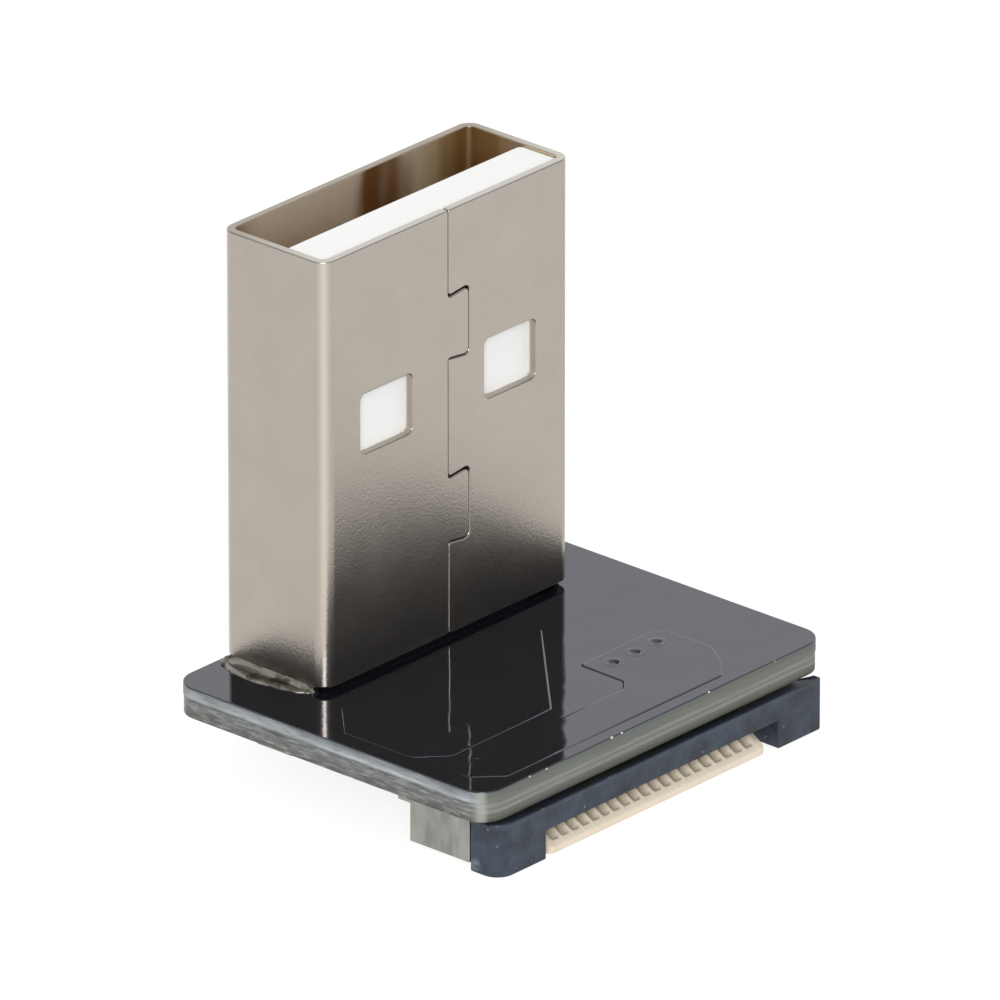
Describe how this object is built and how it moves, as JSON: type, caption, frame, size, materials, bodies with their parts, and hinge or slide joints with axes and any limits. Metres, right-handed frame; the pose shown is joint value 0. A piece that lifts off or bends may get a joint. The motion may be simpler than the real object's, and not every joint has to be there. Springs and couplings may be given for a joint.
{
  "type": "usb-a plug on a flat cable adapter board",
  "caption": "USB-A plug standing upright on a small circuit board, with a slide-lock flat cable socket on the board's underside.",
  "frame": {"origin": "at the height of the flat cable socket's underside, in the middle of the width, and midway between the socket's front and the board's back edge", "axes": "+Z runs along the plug to its mouth, -Y is the way that the flat cable leaves, X runs along the plug's wide face"},
  "size_m": [0.0168, 0.0138, 0.0183],
  "materials": {
    "nickel_plated_steel": "satin nickel plating",
    "white_plastic": "moulded, satin",
    "gold_flashed_bronze": "gold flash",
    "black_masked_laminate": "glossy black mask over glass-fibre laminate",
    "solder": "bright solder",
    "ivory_plastic": "moulded, matte",
    "black_plastic": "moulded glass-filled, matte",
    "plated_spring_bronze": "plated",
    "tinned_sheet": "matte tin"
  },
  "bodies": {
    "board": {"plug_shell": "nickel_plated_steel", "plug_insulator": "white_plastic", "plug_contact_1": "gold_flashed_bronze", "plug_contact_2": "gold_flashed_bronze", "plug_contact_3": "gold_flashed_bronze", "plug_contact_4": "gold_flashed_bronze", "circuit_board": "black_masked_laminate", "shell_solder_left": "solder", "shell_solder_right": "solder", "pin_solder_1": "solder", "pin_solder_2": "solder", "pin_solder_3": "solder", "pin_solder_4": "solder", "cable_socket_housing": "ivory_plastic", "socket_contact_01": "plated_spring_bronze", "socket_contact_02": "plated_spring_bronze", "socket_contact_03": "plated_spring_bronze", "socket_contact_04": "plated_spring_bronze", "socket_contact_05": "plated_spring_bronze", "socket_contact_06": "plated_spring_bronze", "socket_contact_07": "plated_spring_bronze", "socket_contact_08": "plated_spring_bronze", "socket_contact_09": "plated_spring_bronze", "socket_contact_10": "plated_spring_bronze", "socket_contact_11": "plated_spring_bronze", "socket_contact_12": "plated_spring_bronze", "socket_contact_13": "plated_spring_bronze", "socket_contact_14": "plated_spring_bronze", "socket_contact_15": "plated_spring_bronze", "socket_contact_16": "plated_spring_bronze", "socket_contact_17": "plated_spring_bronze", "socket_contact_18": "plated_spring_bronze", "socket_contact_19": "plated_spring_bronze", "socket_contact_20": "plated_spring_bronze", "lead_solder": "solder", "socket_anchor_left": "tinned_sheet", "socket_anchor_right": "tinned_sheet", "anchor_solder_left": "solder", "anchor_solder_right": "solder"},
    "slider": {"cable_socket_slider": "black_plastic"}
  },
  "joints": [
    {"name": "slider_slide", "type": "slide", "parent": "board", "child": "slider", "axis": [0, -1, 0], "range_m": [0, 0.0009]}
  ]
}
